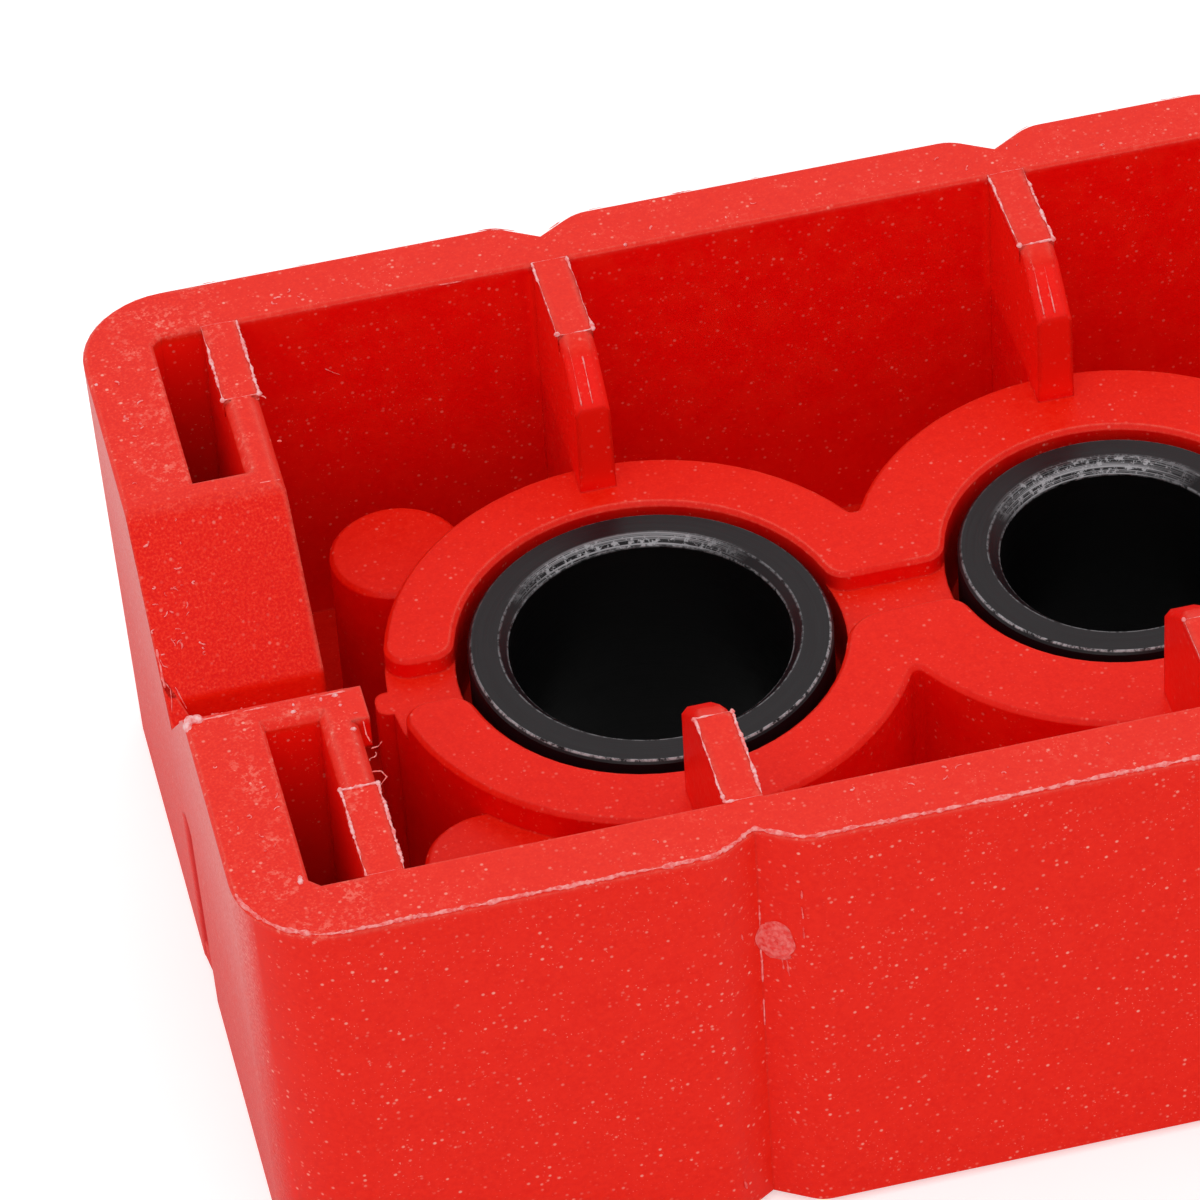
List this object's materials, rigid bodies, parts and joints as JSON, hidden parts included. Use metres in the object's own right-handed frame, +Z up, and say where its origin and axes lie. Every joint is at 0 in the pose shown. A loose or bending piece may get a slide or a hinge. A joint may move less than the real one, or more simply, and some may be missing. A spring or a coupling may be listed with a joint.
{
  "type": "drill guide",
  "caption": "Hand-held moulded drill guide with a row of steel guide bushings, cross ribs, V marks down its sides and a V groove across its ends.",
  "frame": {"origin": "middle of the deck's outer face, on the surface that the guide lies on", "axes": "+X along the row of holes towards the smallest bore, +Y across the row, +Z up out of the open side"},
  "size_m": [0.083, 0.0322, 0.0173],
  "materials": {
    "red_plastic": "satin, fine pale specks",
    "black_steel": "black oxide, turned"
  },
  "bodies": {
    "root": {"guide_body": "red_plastic", "bushing_largest": "black_steel", "bushing_large": "black_steel", "bushing_small": "black_steel", "bushing_smallest": "black_steel"}
  },
  "joints": []
}
